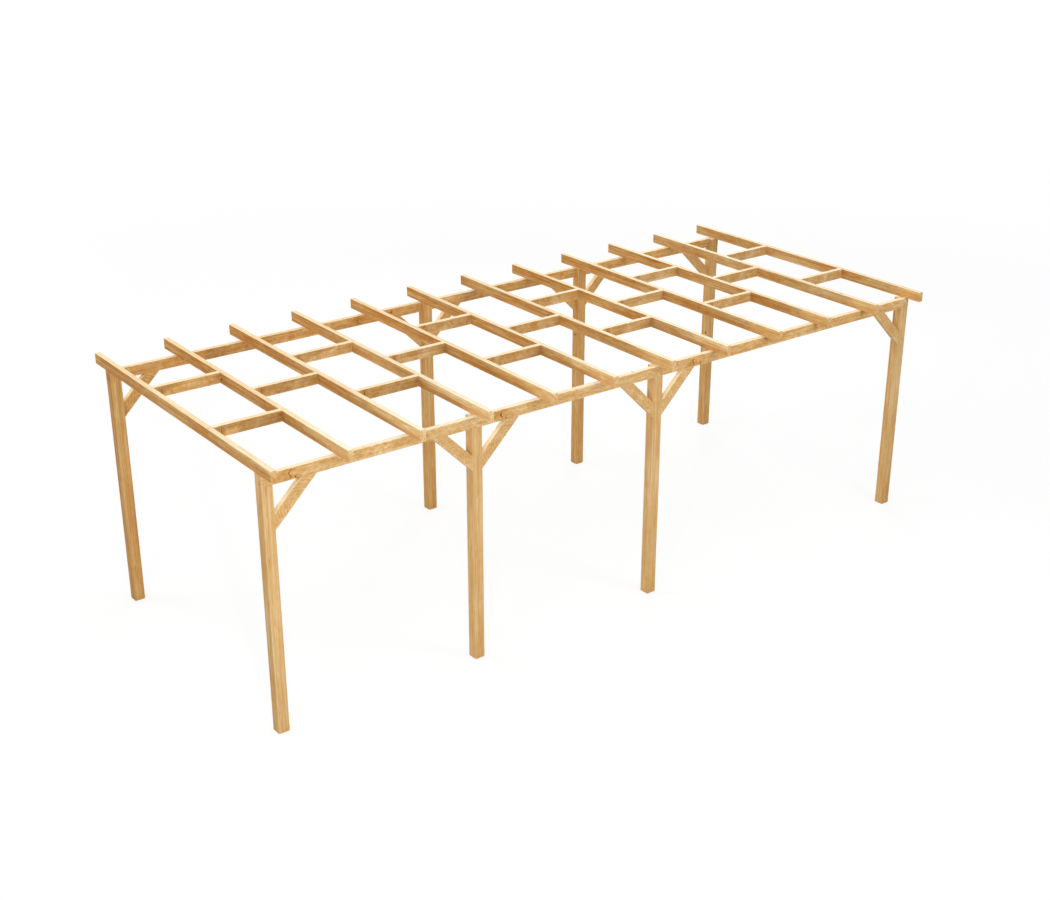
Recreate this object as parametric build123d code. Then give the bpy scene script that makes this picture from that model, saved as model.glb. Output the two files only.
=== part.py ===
from build123d import *
import os
from math import sqrt

# Free-standing open-frame timber pergola, in millimetres.
# X runs along the two beams, Y along the rafters and Z up. -Y is the front.
# The origin is the middle of the bounding box, at ground level.

# Overall sizes
overall_length = 9000.0        # end to end of the beams, and over the outer rafters
row_depth = 3530.0             # front face of the front row to rear face of the rear row
beam_top = 2800.0              # ground to the top of both beams
front_overhang = 210.0         # rafter beyond the front row
rear_overhang = 260.0          # rafter beyond the rear row

# Timber sections
post_side = 120.0
beam_thickness = 60.0
beam_depth = 120.0
rafter_thickness = 60.0
rafter_depth = 120.0
noggin_thickness = 60.0
noggin_depth = 120.0
brace_thickness = 60.0
brace_width = 120.0

# Layout
short_beam = 2440.0            # the two shorter of the three lengths that make a beam
rafter_count = 12
brace_leg = 470.0              # outer edge of a brace, measured along the post and the beam
front_noggin_y = -700.0        # paired noggins, from the middle of the rafters
rear_noggin_y = 650.0
single_noggin_y = 0.0          # lone noggin of every second bay

# Fit
notch_clearance = 1.0          # behind the beam, where it seats in a post's notch

# Worked out from the sizes above
rafter_length = front_overhang + row_depth + rear_overhang
left_end = -overall_length / 2
right_end = overall_length / 2
rafter_front = -rafter_length / 2
rafter_rear = rafter_length / 2
row_front = rafter_front + front_overhang
row_rear = rafter_rear - rear_overhang
rafter_pitch = (overall_length - rafter_thickness) / (rafter_count - 1)
roof_top = beam_top + rafter_depth
beam_underside = beam_top - beam_depth
brace_inner_leg = brace_leg - brace_width * sqrt(2)

# The rear row is the front row turned half round, so its long bay is at the other end.
front_joints = [left_end + short_beam, left_end + 2 * short_beam]
rear_joints = [right_end - 2 * short_beam, right_end - short_beam]
end_posts = [left_end + post_side / 2, right_end - post_side / 2]
span_names = ["left", "middle", "right"]


def box(low, high):
    """A square-edged length of timber between two opposite corners."""
    size = [b - a for a, b in zip(low, high)]
    centre = [(a + b) / 2 for a, b in zip(low, high)]
    return Pos(*centre) * Box(*size)


def post(x, is_front):
    """A square post with a notch in its outer face, where the beam seats."""
    front = row_front if is_front else row_rear - post_side
    body = box((x - post_side / 2, front, 0), (x + post_side / 2, front + post_side, beam_top))
    notch_depth = beam_thickness + notch_clearance
    notch_front = front if is_front else front + post_side - notch_depth
    notch = box(
        (x - post_side / 2, notch_front, beam_underside),
        (x + post_side / 2, notch_front + notch_depth, beam_top),
    )
    return body - notch


def beam(start, end, is_front):
    """One length of a beam, its outer face flush with the outer faces of its posts."""
    front = row_front if is_front else row_rear - beam_thickness
    return box((start, front, beam_underside), (end, front + beam_thickness, beam_top))


def brace(post_face, side, is_front):
    """A knee brace at 45 degrees, cut to bear on the post's side and on the beam's underside.

    side is 1 where the brace rises to the right of the post, and -1 to its left.
    """
    outline = [
        (post_face, beam_underside - brace_leg),
        (post_face + side * brace_leg, beam_underside),
        (post_face + side * brace_inner_leg, beam_underside),
        (post_face, beam_underside - brace_inner_leg),
    ]
    front = row_front if is_front else row_rear - brace_thickness
    flat = Plane((0, front, 0), x_dir=(1, 0, 0), z_dir=(0, -1, 0)) * Polygon(*outline, align=None)
    return extrude(flat, amount=brace_thickness, dir=(0, 1, 0))


def rafter(index):
    """A level rafter that rests on both beams and runs past them, with plumb ends."""
    left = left_end + index * rafter_pitch
    return box((left, rafter_front, beam_top), (left + rafter_thickness, rafter_rear, roof_top))


def noggin(bay, y):
    """A short length between two rafters, flush with their top edges."""
    left = left_end + bay * rafter_pitch + rafter_thickness
    right = left_end + (bay + 1) * rafter_pitch
    return box(
        (left, y - noggin_thickness / 2, roof_top - noggin_depth),
        (right, y + noggin_thickness / 2, roof_top),
    )


def row(name, joints, is_front):
    """The posts, the beam in three lengths and the braces of one long side."""
    pieces = {}
    posts = [end_posts[0], *joints, end_posts[1]]
    ends = [left_end, *joints, right_end]
    for span, start, end in zip(span_names, ends, ends[1:]):
        pieces[f"{name}_beam_{span}"] = beam(start, end, is_front)
    for number, x in enumerate(posts, start=1):
        pieces[f"{name}_post_{number}"] = post(x, is_front)
        braces = []
        if number > 1:
            braces.append(brace(x - post_side / 2, -1, is_front))
        if number < len(posts):
            braces.append(brace(x + post_side / 2, 1, is_front))
        pieces[f"{name}_post_{number}_braces"] = Compound(children=braces)
    return pieces


def roof():
    """The rafters, and between them two noggins in one bay and one in the next."""
    pieces = {}
    for index in range(rafter_count):
        pieces[f"rafter_{index + 1:02d}"] = rafter(index)
    for bay in range(rafter_count - 1):
        places = [single_noggin_y] if bay % 2 else [front_noggin_y, rear_noggin_y]
        noggins = [noggin(bay, y) for y in places]
        pieces[f"noggins_bay_{bay + 1:02d}"] = Compound(children=noggins)
    return pieces


pergola = {**row("front", front_joints, True), **row("rear", rear_joints, False), **roof()}

os.makedirs("parts", exist_ok=True)
for node, shape in pergola.items():
    export_step(shape, f"parts/{node}.step")
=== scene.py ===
import math

import bpy
import numpy as np
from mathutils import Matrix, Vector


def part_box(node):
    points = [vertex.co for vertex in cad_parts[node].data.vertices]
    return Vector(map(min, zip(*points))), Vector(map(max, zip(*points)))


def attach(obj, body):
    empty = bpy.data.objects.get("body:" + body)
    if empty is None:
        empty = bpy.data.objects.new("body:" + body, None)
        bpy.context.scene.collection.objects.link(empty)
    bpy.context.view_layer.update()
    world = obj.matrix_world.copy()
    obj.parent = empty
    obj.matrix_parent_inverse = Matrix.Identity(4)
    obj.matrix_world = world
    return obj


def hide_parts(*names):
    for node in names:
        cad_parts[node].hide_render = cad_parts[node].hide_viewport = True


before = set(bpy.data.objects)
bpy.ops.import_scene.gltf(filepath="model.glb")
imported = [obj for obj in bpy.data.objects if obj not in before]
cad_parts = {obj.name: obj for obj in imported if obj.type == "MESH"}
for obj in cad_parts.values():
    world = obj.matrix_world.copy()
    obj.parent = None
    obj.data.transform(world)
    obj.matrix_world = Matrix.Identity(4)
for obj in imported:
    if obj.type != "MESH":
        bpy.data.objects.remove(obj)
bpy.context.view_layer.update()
print("frame loaded:", len(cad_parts), "timber nodes")

random = np.random.default_rng(28)

# sawn and planed timber, in metres; every piece below is cut from this
stock = {
    "arris": 0.0030,               # radius of the eased long edges
    "endArris": 0.0014,            # radius of the eased saw cuts
    "arcSteps": 3,                 # faces round a quarter turn of an edge
    "sharpFrom": 36,               # degrees between faces that don't shade as one
    "edgeColumn": 0.0015,          # first column of each side, in from its rounded edge
    "sideColumns": (0.25, 0.5, 0.75),
    "checkColumns": (-1.0, -0.3, 0.3, 1.0),   # columns over a drying check, in half widths
    "checkClear": 0.007,           # room that the other columns leave it
    "checkSeam": 0.00015,          # half width where it closes
    "checkNotch": 0.5,             # how far it cuts into an end, as a share of its depth
    "rowStep": 0.030,              # between rows along the timber
    "leastStep": 0.0007,           # rows nearer than this are left out
    "endClear": 0.006,             # no row this near to an end
    "knotRows": 9,                 # closer rows over a knot
    "knotReach": 1.5,              # how far they go, in knot sizes
    "shoulderClear": 0.004,        # no other row this near to a shoulder
    "shoulderStep": 0.0008,        # between the two rows of a shoulder
    "dip": 0.0004,                 # how far the planed sides dip
    "endRings": (0.0, 0.3, 0.6, 0.85),   # rings of a saw cut, as shares of the section
    "fadeLow": 0.42,               # how far in from its first end the painted light on a length reaches, along its lower and its upper edge
    "fadeHigh": 1.10,              # lower and its upper edge
    "figureWidth": 0.12,           # width that the broad figure of the wood is measured in
    "bakeGap": 0.03,               # free part of each strip of the unrolled surface
}


# the shape of one length of timber

def sectionTrip(halfA, halfB):
    # One trip round a rectangle with rounded corners. A corner's point is its centre plus the radius
    # times (cos, sin) of the turn, and the distance gone is the running sum of the steps.
    steps, radius = stock["arcSteps"], stock["arris"]
    turn = np.linspace(0, math.pi / 2, steps + 1)
    angle = (np.arange(4)[:, None] * math.pi / 2 + turn).ravel()
    signA = np.repeat([1, -1, -1, 1], steps + 1)
    signB = np.repeat([1, 1, -1, -1], steps + 1)
    a = signA * (halfA - radius) + radius * np.cos(angle)
    b = signB * (halfB - radius) + radius * np.sin(angle)
    a, b, angle = np.append(a, a[0]), np.append(b, b[0]), np.append(angle, 2 * math.pi)
    gone = np.append(0, np.cumsum(np.hypot(np.diff(a), np.diff(b))))
    return {"gone": gone, "a": a, "b": b, "angle": angle, "length": gone[-1]}


def sideSpan(trip, side):
    # Where a flat side starts and ends on the trip: side 0 faces +b, 1 faces -a, 2 faces -b, 3 faces +a.
    steps = stock["arcSteps"]
    return trip["gone"][side * (steps + 1) + steps], trip["gone"][(side + 1) * (steps + 1)]


def columnsRound(trip, checks):
    # The grid's columns: the points of the rounded edges, a few on each side, and four to each drying
    # check. A column has its place on the trip, its check (-1 for none) and its share of the half width.
    edges = trip["gone"][:-1]
    parts = [(edges, -1, 0.0)]
    for side in range(4):
        start, end = sideSpan(trip, side)
        inner = start + np.array(stock["sideColumns"]) * (end - start)
        stops = np.concatenate([[start + stock["edgeColumn"]], inner, [end - stock["edgeColumn"]]])
        for number, check in enumerate(checks):
            if check["side"] == side:
                middle = start + check["across"] * (end - start)
                stops = stops[np.abs(stops - middle) > stock["checkClear"]]
                shares = np.array(stock["checkColumns"])
                parts.append((np.full(len(shares), middle), number, shares))
        parts.append((stops, -1, 0.0))
    place = np.concatenate([p for p, _, _ in parts])
    owner = np.concatenate([np.full(len(p), number) for p, number, _ in parts])
    share = np.concatenate([np.broadcast_to(s, len(p)) for p, _, s in parts])
    order = np.argsort(place + share * 1e-4, kind="stable")    # a check's columns share one place
    return place[order], owner[order], share[order]


def rowsAlong(member):
    # Rows between the two ends: even steps, closer over knots, and one on each side of a shoulder.
    length = member["length"]
    stops = [np.linspace(0, length, max(3, round(length / stock["rowStep"]) + 1))]
    for knot in member["knots"]:
        reach = stock["knotReach"] * knot["size"]
        stops.append(knot["along"] + np.linspace(-reach, reach, stock["knotRows"]))
    stops = np.unique(np.round(np.concatenate(stops), 3))
    stops = stops[(stops > stock["endClear"]) & (stops < length - stock["endClear"])]
    if member["shoulder"]:
        at = member["shoulder"]["at"]
        stops = stops[np.abs(stops - at) > stock["shoulderClear"]]
        stops = np.sort(np.append(stops, [at - stock["shoulderStep"], at]))
    return stops[np.append(True, np.diff(stops) > stock["leastStep"])]


def timberGrid(member):
    # One closed surface of two parameters. Rows run from the middle of the first saw cut out to its
    # edge, over the eased arris, along the timber, and in over the other saw cut; columns run round
    # the section. A point is the start plus along * s + across * a + through * b, where (a, b) is the
    # section's point moved inwards by the dips, knots, checks and the easing of the ends.
    length, halfA, halfB = member["length"], member["halfA"], member["halfB"]
    trip = sectionTrip(halfA, halfB)
    place, owner, share = columnsRound(trip, member["checks"])
    turn = np.linspace(math.pi / 2, 0, stock["arcSteps"] + 1)
    rings, soft = np.array(stock["endRings"]), stock["endArris"]
    body = rowsAlong(member)
    endScale = np.append(rings, np.ones(len(turn)))
    endInset = np.append(np.full(len(rings), soft), soft * np.sin(turn))
    endRun = np.append(np.zeros(len(rings)), soft * (1 - np.cos(turn)))
    run = np.concatenate([endRun, body, (length - endRun)[::-1]])[:, None]
    scale = np.concatenate([endScale, np.ones(len(body)), endScale[::-1]])[:, None]
    inset = np.concatenate([endInset, np.zeros(len(body)), endInset[::-1]])[:, None]

    gone = np.broadcast_to(place, (len(run), len(place))).copy()
    inward, sunk = np.zeros_like(gone), np.zeros_like(gone)
    for number, check in enumerate(member["checks"]):
        mine = owner == number
        part = np.clip((run - check["start"]) / (check["end"] - check["start"]), 0, 1)
        opening = np.sqrt(4 * part * (1 - part))
        # it follows a slow wave and a quick one
        drift = np.sin(run * 6 + check["phase"]) + 0.4 * np.sin(run * 21 + 2 * check["phase"])
        halfWidth = stock["checkSeam"] + check["width"] / 2 * opening
        gone[:, mine] += check["drift"] * drift + share[mine] * halfWidth
        deep = check["depth"] * opening * (np.abs(share[mine]) < 0.5)
        inward[:, mine] += deep * (scale == 1)
        atEnd = np.where(run < length / 2, 1, -1) * ((scale < 1) & (scale > rings[1]) | (inset > 0))
        sunk[:, mine] += stock["checkNotch"] * deep * atEnd
    a = np.interp(gone, trip["gone"], trip["a"])
    b = np.interp(gone, trip["gone"], trip["b"])
    angle = np.interp(gone, trip["gone"], trip["angle"])
    # the dips are a long wave along the timber times a short one round it
    dips = np.sin(run * 4.1 + member["phase"]) * np.sin(gone * 37 + 1.7 * member["phase"])
    inward += stock["dip"] * (0.5 + 0.5 * dips)
    for knot in member["knots"]:
        # a knot stands in a shallow ring, a bell curve of the distance from its rim
        off = np.sqrt((run - knot["along"]) ** 2 + (a - knot["a"]) ** 2 + (b - knot["b"]) ** 2)
        inward += knot["dish"] * np.exp(-((off / knot["size"] - 0.9) / 0.4) ** 2)
    inward = np.where(scale < 1, 0, inward) + inset
    a = (a - inward * np.cos(angle)) * scale
    b = (b - inward * np.sin(angle)) * scale
    if member["shoulder"]:
        # past the shoulder the section is squeezed towards its inner side, which leaves the tongue
        inner = member["shoulder"]["inner"] * halfB
        past = run > member["shoulder"]["at"] - stock["shoulderStep"] / 2
        b = np.where(past, inner + (b - inner) * member["shoulder"]["left"], b)
    lean = member["leanStart"] + (member["leanEnd"] - member["leanStart"]) * np.clip(run / length, 0, 1)
    s = run + sunk + lean * a
    # the unrolled surface: the run goes on over the saw cuts towards their middles
    reach = max(halfA, halfB)
    unrolled = run + np.where(run < length / 2, -1, 1) * (1 - scale) * reach + 0 * gone
    return {"s": s, "a": a, "b": b, "run": run + 0 * s, "scale": scale + 0 * s, "inset": inset + 0 * s,
            "unrolled": unrolled, "place": place, "round": trip["length"], "reach": reach}


def facesOf(rows, columns):
    # Corners (row, column) of the faces: quads, and triangles where the first and last rows are points.
    i, j = np.meshgrid(np.arange(rows - 1), np.arange(columns), indexing="ij")
    i, j = i.ravel(), j.ravel()
    corners = np.stack([np.stack([i, i, i + 1, i + 1], -1), np.stack([j, j + 1, j + 1, j], -1)], -1)
    quads = corners[(i > 0) & (i < rows - 2)]
    firsts = corners[i == 0][:, [0, 2, 3]]
    lasts = corners[i == rows - 2][:, [0, 1, 2]]
    return quads, np.concatenate([firsts, lasts])


def nearestKnot(member, grid, corners):
    # For each face, its corners seen from the nearest knot in knot radii: (along, sideways, kind). A knot
    # is a cone that narrows from its side towards the heart of the timber, and a slim one is narrower
    # along the grain.
    row, column = corners[..., 0], corners[..., 1] % grid["s"].shape[1]
    spot = np.stack([grid["run"][row, column], grid["a"][row, column], grid["b"][row, column]], -1)
    knots = member["knots"]
    if not knots:
        return np.full(spot.shape, 50.0)    # far from any
    centre = np.array([[k["along"], k["a"], k["b"]] for k in knots])
    size = np.array([k["size"] for k in knots])
    nearest = (np.linalg.norm(spot.mean(1)[:, None] - centre, axis=2) / size).argmin(1)
    seen = spot - centre[nearest][:, None]
    outward = np.array([[(0, 1), (-1, 0), (0, -1), (1, 0)][k["side"]] for k in knots])[nearest][:, None]
    sunk = -(seen[..., 1:] * outward).sum(-1)
    sideways = seen[..., 1] * outward[..., 1] - seen[..., 2] * outward[..., 0]
    cone = np.clip(1 - sunk / np.array([k["deep"] for k in knots])[nearest][:, None], 0.02, 1)
    kind = np.array([k["kind"] for k in knots])[nearest][:, None] + 0 * sunk
    radius = size[nearest][:, None] * cone
    slim = np.array([k["slim"] for k in knots])[nearest][:, None]
    return np.stack([seen[..., 0] / radius / slim, sideways / radius, kind], -1)


def timberPart(member):
    # One member's points, faces and the values that its finish reads, all as arrays.
    grid = timberGrid(member)
    rows, columns = grid["s"].shape
    start, axes = np.array(member["start"]), np.array(member["axes"])
    local = np.stack([grid["s"], grid["a"], grid["b"]], -1)
    keep = np.concatenate([[0], np.arange(columns, (rows - 1) * columns), [(rows - 1) * columns]])

    def points(values):
        return values.reshape(rows * columns, -1)[keep]

    nearSides = np.stack([member["halfA"] - np.abs(grid["a"]), member["halfB"] - np.abs(grid["b"]),
                          grid["run"], member["length"] - grid["run"]], -1)
    edge = np.sort(nearSides, -1)[..., 1]    # how far off the nearest arris is
    cut = ((grid["scale"] < 1) | (grid["inset"] > 0.9 * stock["endArris"])).astype(float)
    length = member["length"]
    wide = stock["figureWidth"]
    figure = np.stack([grid["s"] / length, grid["a"] / wide, grid["b"] / wide], -1) + member["figure"]
    height = np.clip(0.5 + 0.5 * grid["a"] / member["halfA"], 0, 1)
    reach = stock["fadeLow"] + (stock["fadeHigh"] - stock["fadeLow"]) * height
    # painted light: the first end is paler, further in along the upper edge than the lower, as where a side
    # stands out of shadow
    tone = member["tone"] - member["fade"] * np.exp(-(grid["run"] / reach) ** 2)
    grain = local - np.array([0, *member["pith"]]) + np.array([member["offset"], 0, 0])
    found = {"points": points(start + local @ axes), "grain": points(grain), "figure": points(figure),
             "edge": points(edge), "cut": points(cut), "tone": points(tone)}
    # the unrolled surface is cut into strips of one length, stacked in the unit square
    total = length + 2 * grid["reach"]
    strips = max(1, round(math.sqrt(total / grid["round"])))
    quads, triangles = facesOf(rows, columns)
    around = np.append(grid["place"], grid["round"] + grid["place"][0])
    for name, corners in (("quads", quads), ("triangles", triangles)):
        row, column = corners[..., 0], corners[..., 1]
        inside = np.clip((row - 1) * columns + column % columns + 1, 0, len(keep) - 1)
        vertex = np.where(row == 0, 0, np.where(row == rows - 1, len(keep) - 1, inside))
        gone = (grid["unrolled"][row, 0] + grid["reach"]) / total * strips
        strip = np.clip(np.floor(gone.mean(1)), 0, strips - 1)[:, None]
        margin = 2 * stock["rowStep"] / total * strips
        u = (gone - strip + margin) / (1 + 2 * margin)
        v = (around[column] - grid["place"][0]) / grid["round"]
        v = v * (1 - stock["bakeGap"]) + stock["bakeGap"] / 2
        found[name] = {"vertex": vertex, "u": u, "v": v + strip, "knot": nearestKnot(member, grid, corners)}
    found["strips"] = strips
    return found


def buildPiece(name, members, material, nodes):
    # One mesh of one or more members, with the values that the finish reads, in place of its CAD node.
    parts = [timberPart(member) for member in members]
    sizes = np.cumsum([0] + [len(part["points"]) for part in parts])
    strips = np.cumsum([0] + [part["strips"] for part in parts])
    loops, starts, u, v, knot = [], [], [], [], []
    for part, first, below in zip(parts, sizes, strips):
        for kind, count in (("quads", 4), ("triangles", 3)):
            faces = part[kind]
            loops.append(faces["vertex"].ravel() + first)
            starts.append(np.full(len(faces["vertex"]), count))
            u.append(faces["u"].ravel())
            v.append((faces["v"] + below).ravel() / strips[-1])
            knot.append(faces["knot"].reshape(-1, 3))
    loops, counts = np.concatenate(loops), np.concatenate(starts)
    starts = np.append(0, np.cumsum(counts)[:-1])
    mesh = bpy.data.meshes.new(name)
    mesh.vertices.add(sizes[-1])
    mesh.vertices.foreach_set("co", np.concatenate([p["points"] for p in parts]).astype(np.float32).ravel())
    mesh.loops.add(len(loops))
    mesh.loops.foreach_set("vertex_index", loops.astype(np.int32))
    mesh.polygons.add(len(starts))
    mesh.polygons.foreach_set("loop_start", starts.astype(np.int32))
    mesh.update(calc_edges=True)
    for key in ("grain", "figure", "edge", "cut", "tone"):
        values = np.concatenate([part[key] for part in parts])
        kind, field = ("FLOAT", "value") if values.shape[1] == 1 else ("FLOAT_VECTOR", "vector")
        mesh.attributes.new(key, kind, "POINT").data.foreach_set(field, values.astype(np.float32).ravel())
    seen = mesh.attributes.new("knot", "FLOAT_VECTOR", "CORNER")
    seen.data.foreach_set("vector", np.concatenate(knot).astype(np.float32).ravel())
    unrolled = mesh.uv_layers.new(name="OFBake")
    uv = np.stack([np.concatenate(u), np.concatenate(v)], -1)
    unrolled.data.foreach_set("uv", uv.astype(np.float32).ravel())
    mesh.polygons.foreach_set("use_smooth", np.ones(len(starts), bool))
    mesh.set_sharp_from_angle(angle=math.radians(stock["sharpFrom"]))
    mesh.materials.append(material)
    piece = bpy.data.objects.new(name, mesh)
    bpy.context.scene.collection.objects.link(piece)
    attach(piece, "root")
    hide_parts(*nodes)
    return piece


# what each length of timber is like: its knots, checks and grain

def sidePlace(member, side, across):
    # The section's point on a side, at a share of the way along it.
    trip = sectionTrip(member["halfA"], member["halfB"])
    start, end = sideSpan(trip, side)
    gone = start + across * (end - start)
    return float(np.interp(gone, trip["gone"], trip["a"])), float(np.interp(gone, trip["gone"], trip["b"]))


def drawTimber(start, axes, length, halfA, halfB, look, lean=(0, 0), shoulder=None):
    # A member with its own pith, checks, knots and tone, drawn at random from its kind's look.
    member = {"start": start, "axes": axes, "length": length, "halfA": halfA, "halfB": halfB,
              "leanStart": lean[0], "leanEnd": lean[1], "shoulder": shoulder}
    member["phase"] = random.uniform(0, 6)
    member["offset"] = random.uniform(-40, 40)
    member["tone"] = look["depth"] + look["drift"] * start[0]
    member["tone"] *= 1 + random.normal(0, look["depthSpread"])
    member["pith"] = np.array(look["pith"]) + random.uniform(-1, 1, 2) * look["pithSpread"]
    member["figure"] = random.normal(0, look["figureSpread"], 3)
    member["fade"] = look["fade"] + look["fadeDrift"] * start[0]
    knots = []
    for mark in look["marks"]:
        knots.append(dict(mark, along=mark["along"] * length + random.normal(0, look["markSlip"])))
    for _ in range(round(look["knotsPerMetre"] * length)):
        knots.append({"along": random.uniform(*look["knotAlong"]) * length, "side": int(random.integers(4)),
                      "across": random.uniform(*look["knotAcross"]),
                      "size": random.uniform(*look["knotSize"]), "kind": 0, "slim": 1})
    for knot in knots:
        knot["a"], knot["b"] = sidePlace(member, knot["side"], knot["across"])
        knot["dish"], knot["deep"] = look["knotDish"], look["knotDepth"] * min(halfA, halfB)
    member["knots"] = knots
    member["checks"] = []
    for side in look["checkSides"]:
        middle = random.uniform(*look["checkAlong"]) * length
        reach = random.uniform(*look["checkLength"]) / 2
        member["checks"].append({"side": side, "across": random.uniform(*look["checkAcross"]),
                                 "start": middle - reach, "end": middle + reach,
                                 "width": random.uniform(*look["checkWidth"]),
                                 "depth": random.uniform(*look["checkDepth"]),
                                 "drift": look["checkDrift"], "phase": random.uniform(0, 6)})
    return member


# the finish: planed softwood under a honey stain

def nodeMaker(tree):
    # Adds a node, sets its fields, and sets or links its inputs.
    def make(kind, inputs=None, **fields):
        node = tree.nodes.new("ShaderNode" + kind)
        for key, value in fields.items():
            setattr(node, key, value)
        for key, value in (inputs or {}).items():
            if isinstance(value, bpy.types.NodeSocket):
                tree.links.new(value, node.inputs[key])
            else:
                node.inputs[key].default_value = value
        return node
    return make


stain = {
    "honey": (0.640, 0.407, 0.172),    # what one coat leaves on clear wood
    "amber": (0.645, 0.350, 0.127),    # the same coat on resinous wood, and where the coats lie deep
    "sunned": (0.930, 0.630, 0.235),   # and the cream painted on upper sides as painted light
    "worn": -0.25,                     # coats that handling has worn off the arrises
    "wornWidth": 0.005,
    "fibre": 0.07,                     # coats that the fibres add, and so on
    "halo": 0.22,
    "knotCore": 1.1,
    "knotRim": 1.9,
    "hook": 2.6,
    "knotPush": 0.012,                 # metres that a knot pushes the rings aside
    "least": 0.25,                     # coats left where it is palest
    "deep": (1.0, 1.7),                # coats over which the stain turns warm
    "level": (0.25, 0.75),             # how far up a side has to face for the painted top light to reach it
    "roughness": 0.55,
    "fibreRoughness": 0.24,
    "cutRoughness": 0.18,
    "gloss": 0.04,
    "relief": 0.0008,                  # metres that the bump stands for
    "reliefStrength": 0.6,
    "lateRelief": 0.4,                 # late wood stands up by this share of it
    "knotRelief": -2.0,                # and knots and splits sink in
}


def timberFinish(name, look):
    # A coat of stain leaves its colour, and n coats that colour to the power n. So every field below
    # adds to the coats or takes from them: growth rings, streaks, curl, fibres, knots, wear and painted
    # light on the upper sides. Distances from a knot are in its radii, and the other places are in metres.
    material = bpy.data.materials.new(name)
    material.use_nodes = True
    tree = material.node_tree
    tree.nodes.clear()
    make = nodeMaker(tree)

    def calc(kind, *values, clamp=False):
        return make("Math", dict(enumerate(values)), operation=kind, use_clamp=clamp).outputs[0]

    def vector(kind, *values):
        node = make("VectorMath", dict(enumerate(values)), operation=kind)
        return node.outputs["Value" if kind == "LENGTH" else "Vector"]

    def ramp(x, low, high, toLow=0.0, toHigh=1.0):
        limits = {"Value": x, "From Min": low, "From Max": high, "To Min": toLow, "To Max": toHigh}
        return make("MapRange", limits, interpolation_type="SMOOTHSTEP").outputs["Result"]

    def noise(place, scale, detail=3.0, rough=0.5, curl=0.0):
        settings = {"Vector": vector("MULTIPLY", place, scale), "Scale": 1.0, "Detail": detail,
                    "Roughness": rough, "Distortion": curl}
        return make("TexNoise", settings).outputs

    def waver(place, scale, reach, detail=1.0):
        # a vector that wanders by up to the reach each way
        middle = vector("SUBTRACT", noise(place, scale, detail)["Color"], (0.5, 0.5, 0.5))
        return vector("MULTIPLY", middle, reach)

    grain = make("Attribute", attribute_name="grain").outputs["Vector"]
    figure = make("Attribute", attribute_name="figure").outputs["Vector"]
    knot = make("Attribute", attribute_name="knot").outputs["Vector"]
    edge = make("Attribute", attribute_name="edge").outputs["Fac"]
    cut = make("Attribute", attribute_name="cut").outputs["Fac"]
    coats = make("Attribute", attribute_name="tone").outputs["Fac"]

    # knots have a ragged outline, a dark rim and a halo of resin
    knotAt = vector("ADD", knot, waver(grain, (60, 60, 60), (0.5, 0.5, 0.0), 2))
    parts = make("SeparateXYZ", {0: knotAt}).outputs
    isHook = calc("MINIMUM", parts["Z"], 1)
    far = vector("LENGTH", vector("MULTIPLY", knotAt, (1, 1, 0)))
    sound = calc("SUBTRACT", 1, isHook, clamp=True)
    knotCore = calc("MULTIPLY", ramp(far, 0.80, 1.0, 1, 0), sound)
    knotRim = calc("MULTIPLY", calc("MULTIPLY", ramp(far, 0.6, 0.9), ramp(far, 0.95, 1.2, 1, 0)), sound)
    halo = ramp(far, 0.9, 3.2, 1, 0)
    # a hook is a line with a bend, thick at the middle and thin at its tips
    bent = calc("MULTIPLY_ADD", calc("ABSOLUTE", calc("SUBTRACT", parts["Y"], 0.15)), 0.62, -0.28)
    offHook = calc("ABSOLUTE", calc("SUBTRACT", parts["X"], bent))
    hookWidth = ramp(calc("ABSOLUTE", parts["Y"]), 0.1, 1.25, 0.17, 0.04)
    hook = calc("MULTIPLY", calc("DIVIDE", calc("SUBTRACT", hookWidth, offHook), 0.07, clamp=True), isHook)
    hook = calc("MULTIPLY", hook, ramp(far, 0.95, 1.35, 1, 0))

    # growth rings round a pith that wanders, pushed aside by the knots
    wander = waver(grain, (0.9, 4, 4), (0, look["wander"], look["wander"]))
    outward = vector("MULTIPLY", vector("ADD", grain, wander), (0, 1, 1))
    radius = calc("MULTIPLY_ADD", halo, stain["knotPush"], vector("LENGTH", outward))
    ring = calc("FRACT", calc("DIVIDE", radius, look["ringPitch"]))
    late = calc("MULTIPLY", ramp(ring, 0.25, 0.85), ramp(ring, 0.93, 1.0, 1, 0))
    band = calc("SINE", calc("DIVIDE", radius, look["bandPitch"] / math.tau))

    fibre = noise(grain, (7, 240, 240), 4, 0.6)["Fac"]
    streak = noise(grain, (0.9, look["streakPitch"], look["streakPitch"]), 3, 0.55)["Fac"]
    mottle = noise(grain, look["mottleSize"], 3, 0.55, look["curl"])["Fac"]
    broad = noise(figure, look["broadSize"], 2, 0.5)["Fac"]
    resin = noise(figure, (3.0, 0.8, 0.8), 3, 0.6, 0.5)["Fac"]

    # arches: rings round a point beside the length's middle, as plain-sawn wood shows
    fromArch = vector("MULTIPLY", vector("SUBTRACT", figure, (0.5, 0.9, 0.0)), (0.55, 0.12, 0.03))
    fromArch = vector("ADD", fromArch, waver(grain, (9, 12, 12), (0.05, 0.05, 0), 2))
    arches = calc("SINE", calc("DIVIDE", vector("LENGTH", fromArch), look["archPitch"] / math.tau))

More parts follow.
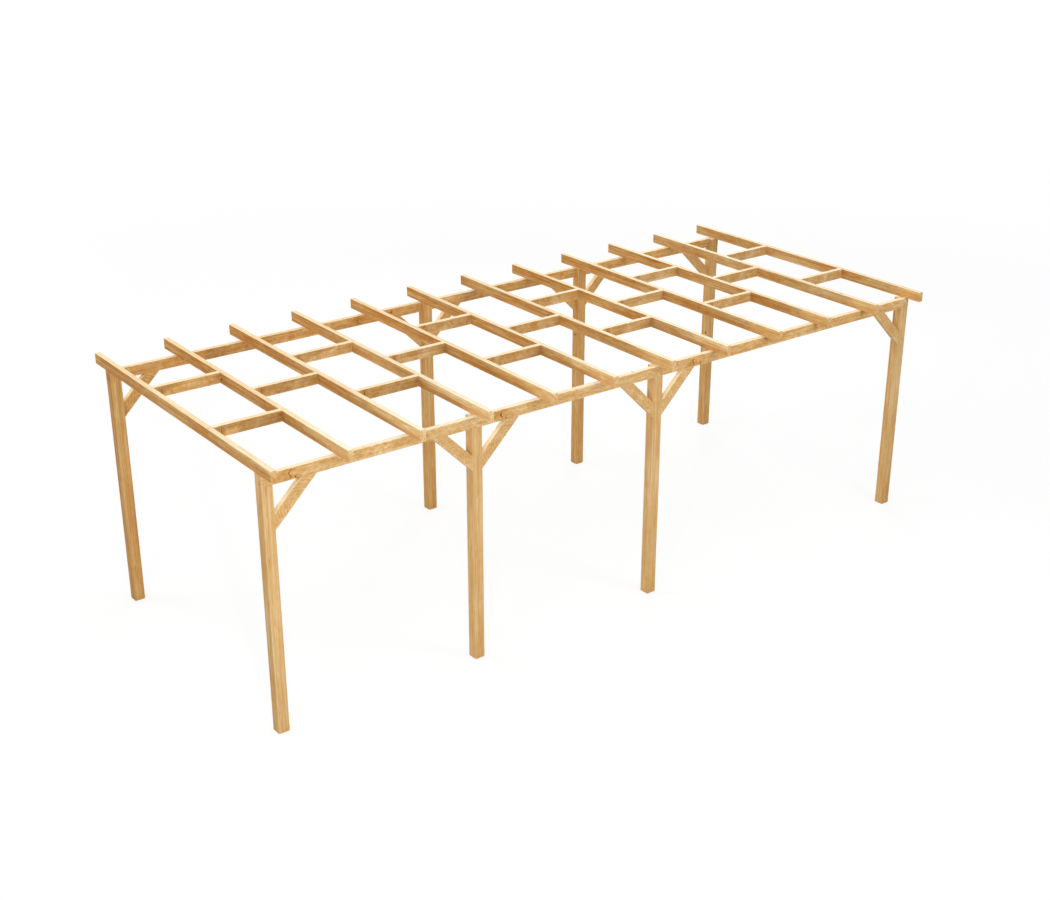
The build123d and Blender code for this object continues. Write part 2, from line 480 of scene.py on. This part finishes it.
    for field, gain in ((late, look["rings"]), (band, look["bands"]), (arches, look["arches"]),
                        (ramp(streak, 0.32, 0.68, -1, 1), look["streaks"]),
                        (ramp(mottle, 0.32, 0.70, -1, 1), look["mottle"]),
                        (ramp(broad, 0.35, 0.65, -1, 1), look["broad"]),
                        (ramp(fibre, 0.3, 0.75, -1, 1), stain["fibre"]),
                        (halo, stain["halo"]), (knotCore, stain["knotCore"]),
                        (knotRim, stain["knotRim"]), (hook, stain["hook"]), (cut, look["cut"]),
                        (ramp(edge, 0, stain["wornWidth"], 1, 0), stain["worn"])):
        coats = calc("MULTIPLY_ADD", field, gain, coats)
    # painted top light: upward sides keep fewer coats, so they come out paler, as lit faces do
    upward = make("SeparateXYZ", {0: make("NewGeometry").outputs["Normal"]}).outputs["Z"]
    kept = ramp(upward, *stain["level"], 1, 1 - look["bleached"])
    coats = calc("MAXIMUM", calc("MULTIPLY", coats, kept), stain["least"])
    # warmer where the coats are deep: partly the stain's own depth, partly painted warmth of the shade that
    # deep coats stand in for
    deep = calc("MULTIPLY", ramp(coats, *stain["deep"]), look["warmth"])
    resinous = calc("MULTIPLY", ramp(resin, 0.42, 0.72, 0, look["resin"]), ramp(coats, 0.5, 1.0))
    wood = make("Mix", {0: calc("ADD", deep, resinous, clamp=True)}, data_type="RGBA")
    wood.inputs[6].default_value = (*stain["honey"], 1)
    wood.inputs[7].default_value = (*stain["amber"], 1)
    # painted light: a pale cream on upward sides, on the braces' sloping ones most, where these lamps leave
    # them darker
    if look["sunned"]:
        sunned = ramp(upward, *stain["level"], 0, look["sunned"])
        wood = make("Mix", {0: sunned, 6: wood.outputs[2]}, data_type="RGBA")
        wood.inputs[7].default_value = (*stain["sunned"], 1)
    colour = make("Gamma", {"Color": wood.outputs[2], "Gamma": coats}).outputs[0]

    smoothest = stain["roughness"] - stain["fibreRoughness"] / 2
    rough = calc("MULTIPLY_ADD", fibre, stain["fibreRoughness"], smoothest)
    rough = calc("MULTIPLY_ADD", cut, stain["cutRoughness"], rough)
    height = calc("MULTIPLY_ADD", late, stain["lateRelief"], fibre)
    height = calc("MULTIPLY_ADD", calc("MAXIMUM", knotRim, hook), stain["knotRelief"], height)
    bump = make("Bump", {"Strength": stain["reliefStrength"], "Distance": stain["relief"],
                         "Height": height}).outputs["Normal"]
    surface = make("BsdfPrincipled", {"Base Color": colour, "Roughness": rough, "Normal": bump, "IOR": 1.5,
                                      "Specular IOR Level": stain["gloss"]})
    make("OutputMaterial", {"Surface": surface.outputs[0]})
    return material


basicLook = {
    "depth": 0.92,                 # coats of stain
    "depthSpread": 0.03,
    "drift": -0.004,               # coats more per metre towards the right-hand end, a painted light gradient along the frame
    "fade": 0.0,                   # coats fewer at the first end, as painted light
    "fadeDrift": 0.0,              # how that changes per metre towards the right-hand end
    "ringPitch": 0.0060,
    "rings": 0.22,                 # coats that late wood adds, and so on
    "bandPitch": 0.030,
    "bands": 0.05,
    "archPitch": 0.034,
    "arches": 0.0,
    "streakPitch": 42,             # per metre across
    "streaks": 0.16,
    "mottleSize": (7, 13, 13),     # per metre
    "curl": 1.0,
    "mottle": 0.10,
    "broadSize": (4.5, 0.9, 0.9),  # per length, and per width of 120 mm
    "broad": 0.08,
    "bleached": 0.55,              # share of the coats taken off the upper sides, as painted top light
    "sunned": 0.0,                 # share of that cream painted there as painted light
    "resin": 0.35,                 # share of amber in the resinous patches
    "warmth": 0.35,                # and where the coats lie deep, partly painted warmth of shade
    "cut": 0.10,                   # coats that a saw cut takes up
    "wander": 0.05,                # how far the pith wanders
    "pith": (0.0, 0.0),            # where it is in the section
    "pithSpread": 0.02,
    "figureSpread": 0.05,
    "marks": [],
    "markSlip": 0.003,             # how far a mark is off its place, give or take
    "knotsPerMetre": 0.35,
    "knotSize": (0.006, 0.013),
    "knotAlong": (0.08, 0.92),     # shares of the length and of a side's width
    "knotAcross": (0.2, 0.8),
    "knotDepth": 3,                # half thicknesses that its cone reaches in
    "knotDish": 0.0006,            # depth of the ring round it
    "checkSides": (),              # sides with a drying check
    "checkAlong": (0.1, 0.9),
    "checkAcross": (0.3, 0.7),
    "checkLength": (0.3, 0.9),
    "checkWidth": (0.0012, 0.0022),
    "checkDepth": (0.005, 0.010),
    "checkDrift": 0.0016,          # how far it wanders to either side
}

postLook = dict(basicLook, checkSides=(0, 1, 2, 3), mottle=0.05, streakPitch=52)
rearPaintedShade = 0.20                   # painted shade: the rear row gets more coats, for the shade it stands in behind the front row
rearDrift = -0.011                 # and more coats per metre towards the left-hand end
notchClearance = 0.001             # the notch is deeper than the beam by this


def rowLook(look, row):
    if row == "front":
        return look
    return dict(look, depth=look["depth"] + rearPaintedShade, drift=look["drift"] + rearDrift)


def buildPosts():
    material = timberFinish("postTimber", postLook)
    for row in ("front", "rear"):
        beamLow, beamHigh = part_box(f"{row}_beam_left")
        for number in range(1, 5):
            node = f"{row}_post_{number}"
            low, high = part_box(node)
            side = high.x - low.x
            outer = -1 if row == "front" else 1
            left = (side - (beamHigh.y - beamLow.y) - notchClearance) / side
            shoulder = {"at": beamLow.z - low.z, "inner": -outer, "left": left}
            axes = ((0, 0, 1), (1, 0, 0), (0, 1, 0))
            start = ((low.x + high.x) / 2, (low.y + high.y) / 2, low.z)
            look = rowLook(postLook, row)
            member = drawTimber(start, axes, high.z - low.z, side / 2, side / 2, look, shoulder=shoulder)
            buildPiece(node + "_timber", [member], material, [node])
    print("posts built")


# a hooked split in a side: a place as shares of the length and the width, half its height in metres,
# and how slim it is along the grain
split = {"along": 0.5, "side": 1, "across": 0.5, "size": 0.045, "kind": 1, "slim": 1.0}
beamLook = dict(basicLook, streaks=0.08, mottle=0.20, mottleSize=(9, 16, 16), curl=2.2, bands=0.09,
                pith=(0.05, 0.03), wander=0.10,
                marks=[dict(split, along=0.124),
                       dict(split, along=0.150, across=0.85, size=0.020, slim=1.8)])
rearBeamLook = dict(beamLook, marks=[dict(split, along=0.876, side=3),
                                     dict(split, along=0.765, size=0.026, slim=1.4)])


def lyingMember(low, high, look, alongX):
    # A level member that fills its box, along X or along Y, with b up.
    middle = (low + high) / 2
    if alongX:
        axes = ((1, 0, 0), (0, 1, 0), (0, 0, 1))
        return drawTimber((low.x, middle.y, middle.z), axes, high.x - low.x,
                          (high.y - low.y) / 2, (high.z - low.z) / 2, look)
    axes = ((0, 1, 0), (0, 0, 1), (1, 0, 0))
    return drawTimber((middle.x, low.y, middle.z), axes, high.y - low.y,
                      (high.z - low.z) / 2, (high.x - low.x) / 2, look)


def buildBeams():
    material = timberFinish("beamTimber", beamLook)
    for row in ("front", "rear"):
        for span in ("left", "middle", "right"):
            node = f"{row}_beam_{span}"
            look = beamLook if row == "front" else rowLook(rearBeamLook, row)
            member = lyingMember(*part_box(node), look, True)
            buildPiece(node + "_timber", [member], material, [node])
    print("beams built")


braceLook = dict(basicLook, streaks=0.03, mottle=0.15, mottleSize=(14, 14, 14), curl=2.0, bands=0.04,
                 arches=0.10, sunned=1.0, pith=(0.05, 0.03), wander=0.20)
braceWidth = 0.12


def braceMember(post, beam, foot, side, look):
    # A mitred member at 45 degrees in the beam's plane: its outer edge runs from the post's side to
    # the beam's underside, and its middle line is half a width inside that.
    postLow, postHigh = post
    beamLow, beamHigh = beam
    leg = beamLow.z - foot
    face = postHigh.x if side > 0 else postLow.x
    r = math.sqrt(0.5)
    along = np.array([side * r, 0, r])
    out = np.array([side * r, 0, -r])
    half = braceWidth / 2
    centreLength = leg * math.sqrt(2) - braceWidth
    outerStart = np.array([face, (beamLow.y + beamHigh.y) / 2, foot])
    start = outerStart - out * half + along * half
    through = np.cross(along, out)
    return drawTimber(tuple(start), (tuple(along), tuple(out), tuple(through)), centreLength, half,
                      (beamHigh.y - beamLow.y) / 2, look, lean=(-1, 1))


def buildBraces():
    material = timberFinish("braceTimber", braceLook)
    for row in ("front", "rear"):
        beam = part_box(f"{row}_beam_left")
        for number in range(1, 5):
            node = f"{row}_post_{number}_braces"
            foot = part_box(node)[0].z
            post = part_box(f"{row}_post_{number}")
            sides = [side for side in (-1, 1) if not (number == 1 and side < 0 or number == 4 and side > 0)]
            look = rowLook(braceLook, row)
            members = [braceMember(post, beam, foot, side, look) for side in sides]
            buildPiece(node + "_timber", members, material, [node])
    print("braces built")


# painted shade: more, warmer coats on the rafters than on the other kinds, and more towards the left, for
# the shade between neighbours
rafterLook = dict(basicLook, depth=1.25, drift=-0.026, fade=0.34, fadeDrift=-0.060, cut=-0.05,
                  pith=(0.02, 0.06), warmth=0.6, streaks=0.20, broad=0.12, knotsPerMetre=0.25)
outerRafterLook = dict(rafterLook, depth=1.06, fade=0.06, fadeDrift=0.0)    # the first has no neighbour on its left, so it gets less painted shade and less painted end light


def buildRafters():
    material = timberFinish("rafterTimber", rafterLook)
    for number in range(1, 13):
        node = f"rafter_{number:02d}"
        look = outerRafterLook if number == 1 else rafterLook
        member = lyingMember(*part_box(node), look, False)
        buildPiece(node + "_timber", [member], material, [node])
    print("rafters built")


nogginLook = dict(basicLook, depth=1.03, drift=-0.020, streaks=0.06, mottle=0.19,
                  mottleSize=(13, 14, 14), curl=2.0, broad=0.10, broadSize=(4, 0.5, 0.5), fade=0.10,
                  pith=(0.06, 0.02), marks=[dict(split, along=0.118, size=0.05, slim=0.35)])
nogginThickness = 0.06


def buildNoggins():
    material = timberFinish("nogginTimber", nogginLook)
    for bay in range(1, 12):
        node = f"noggins_bay_{bay:02d}"
        low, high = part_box(node)
        members = []
        if high.y - low.y > 1.5 * nogginThickness:
            # two noggins, one at each end of the box
            near, far = high.copy(), low.copy()
            near.y, far.y = low.y + nogginThickness, high.y - nogginThickness
            members.append(lyingMember(low, near, nogginLook, True))
            members.append(lyingMember(far, high, nogginLook, True))
        else:
            members.append(lyingMember(low, high, nogginLook, True))
        buildPiece(node + "_timber", members, material, [node])
    print("noggins built")


buildPosts()
buildBeams()
buildBraces()
buildRafters()
buildNoggins()

studio = {
    "floorSize": 400,
    "floorColour": (0.55, 0.55, 0.55),
    "floorGlow": 0.80,             # what the camera sees of the floor besides its light and shadow
    "whiteFrom": 7,                # metres from the middle between which it turns white
    "whiteTo": 30,
    "floorShade": 0.17,            # how much of the light and shadow it sees
    "sky": 0.18,                   # strength of the light from all sides
    "lowLamp": {"place": (-6.2, -6.7, 2.22), "aim": (0, 0, 2.4), "size": 0.35, "power": 155,
                "evenAt": 6.0},    # metres at which it is as strong as a plain lamp
    "frontLamp": {"place": (3.0, -8.5, 5.0), "aim": (0, 0, 2), "size": 2.5, "power": 198},
    "leftLamp": {"place": (-9, -5, 7), "aim": (0, 0, 2), "size": 2.5, "power": 125},
    "canopyLamp": {"place": (0, 0, 15), "aim": (0, 0, 2), "size": 30, "power": 3780},
    "rearLamp": {"place": (-12, 10, 9), "aim": (0, 0, 2), "size": 8, "power": 610},
    "backLamp": {"place": (8, 7, 5), "aim": (0, 0, 2), "size": 3, "power": 210},
}


def whiteToTheEye(make):
    # 1 for what the camera, a reflection or a clear body sees, 0 for light that falls on things
    path = make("LightPath").outputs
    seen = make("Math", {0: path["Is Camera Ray"], 1: path["Is Glossy Ray"]}, operation="MAXIMUM")
    seen = make("Math", {0: seen.outputs[0], 1: path["Is Transmission Ray"]}, operation="MAXIMUM")
    return seen.outputs[0]


def buildFloor():
    size = studio["floorSize"] / 2
    corners = [(-size, -size, 0), (size, -size, 0), (size, size, 0), (-size, size, 0)]
    mesh = bpy.data.meshes.new("floor")
    mesh.from_pydata(corners, [], [(0, 1, 2, 3)])
    material = bpy.data.materials.new("floorPaper")
    material.use_nodes = True
    tree = material.node_tree
    tree.nodes.clear()
    make = nodeMaker(tree)
    paper = make("BsdfDiffuse", {"Color": (*studio["floorColour"], 1)})
    faint = make("BsdfDiffuse", {"Color": (studio["floorShade"],) * 3 + (1,)})
    away = make("VectorMath", {0: make("TexCoord").outputs["Object"]}, operation="LENGTH").outputs["Value"]
    glowing = make("MapRange", {"Value": away, "From Min": studio["whiteFrom"],
                                "From Max": studio["whiteTo"], "To Min": studio["floorGlow"],
                                "To Max": 1.0}).outputs["Result"]
    glow = make("Emission", {"Color": (1, 1, 1, 1), "Strength": glowing})
    shown = make("AddShader", {0: faint.outputs[0], 1: glow.outputs[0]})
    mixed = make("MixShader", {0: whiteToTheEye(make), 1: paper.outputs[0], 2: shown.outputs[0]})
    make("OutputMaterial", {"Surface": mixed.outputs[0]})
    mesh.materials.append(material)
    floor = bpy.data.objects.new("floor", mesh)
    bpy.context.scene.collection.objects.link(floor)


def buildLamp(name):
    # A square lamp at its place, turned so that it shines at its aim.
    look = studio[name]
    lamp = bpy.data.lights.new(name, "AREA")
    lamp.energy, lamp.size = look["power"], look["size"]
    holder = bpy.data.objects.new(name, lamp)
    holder.location = look["place"]
    x, y, z = np.array(look["aim"]) - np.array(look["place"])
    holder.rotation_euler = (math.atan2(math.hypot(x, y), -z), 0, math.atan2(y, x) - math.pi / 2)
    holder.visible_camera = False
    if look.get("evenAt"):
        # it weakens with the distance, not with its square
        lamp.use_nodes = True
        make = nodeMaker(lamp.node_tree)
        slow = make("LightFalloff", {"Strength": 1 / look["evenAt"]}).outputs["Linear"]
        lamp.node_tree.links.new(slow, lamp.node_tree.nodes["Emission"].inputs["Strength"])
    bpy.context.scene.collection.objects.link(holder)


def buildLight():
    world = bpy.data.worlds.new("studio")
    world.use_nodes = True
    tree = world.node_tree
    tree.nodes.clear()
    make = nodeMaker(tree)
    strength = make("MapRange", {"Value": whiteToTheEye(make), "To Min": studio["sky"], "To Max": 1.0})
    sky = make("Background", {"Color": (1, 1, 1, 1), "Strength": strength.outputs["Result"]})
    make("OutputWorld", {"Surface": sky.outputs[0]})
    bpy.context.scene.world = world
    for name in ("lowLamp", "frontLamp", "leftLamp", "canopyLamp", "rearLamp", "backLamp"):
        buildLamp(name)


view = {
    "place": (-10.357, -13.606, 8.629),
    "azimuth": -36.992,            # degrees
    "elevation": 23.236,           # degrees that it looks down
    "focal": 53.05,                # millimetres
    "sensor": 36,
    "farthest": 500,
}


def buildCamera():
    camera = bpy.data.cameras.new("camera")
    camera.lens, camera.sensor_width = view["focal"], view["sensor"]
    camera.clip_end = view["farthest"]
    holder = bpy.data.objects.new("camera", camera)
    holder.location = view["place"]
    holder.rotation_euler = (math.radians(90 - view["elevation"]), 0, math.radians(view["azimuth"]))
    bpy.context.scene.collection.objects.link(holder)
    bpy.context.scene.camera = holder


buildFloor()
buildLight()
buildCamera()
bpy.context.scene.view_settings.view_transform = "Standard"
